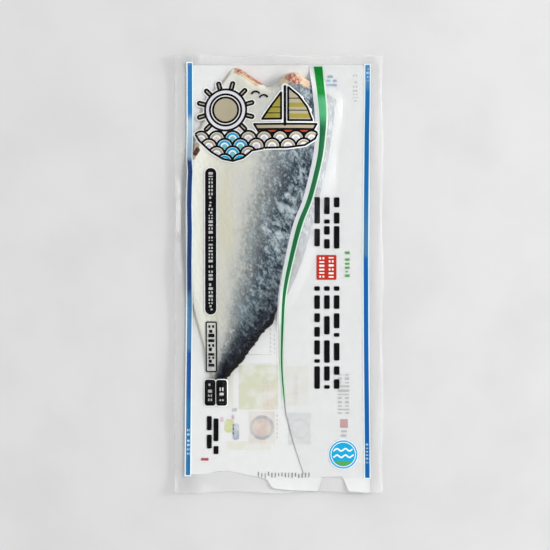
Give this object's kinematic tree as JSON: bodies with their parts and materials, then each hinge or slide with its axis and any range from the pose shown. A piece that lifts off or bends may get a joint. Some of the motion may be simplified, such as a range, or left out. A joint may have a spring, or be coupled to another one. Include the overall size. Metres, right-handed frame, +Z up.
{
  "type": "vacuum-packed salted mackerel half",
  "caption": "Salted mackerel half, skin side up, vacuum sealed flat in a long clear pouch with a printed front and a white back.",
  "frame": {"origin": "on the table, under the centre of the pouch's outline", "axes": "+X across the pouch towards its printed panel, +Y along it towards the fish's head end, +Z up from the table"},
  "size_m": [0.1434, 0.3, 0.014],
  "materials": {
    "pouch_film": "clear glossy pouch film over the fish, its cut edges pale",
    "back_film": "film printed white, with faint pastel fields",
    "fish_skin": "wet skin, cream belly, mottled blue-grey back, near-black back edge",
    "ink_white": "white printing ink, slightly see-through",
    "ink_black": "black printing ink",
    "ink_blue": "blue printing ink",
    "ink_green": "green printing ink",
    "ink_colours": "red and other coloured printing inks"
  },
  "bodies": {
    "root": {"sealed_pouch": "pouch_film"}
  },
  "joints": []
}
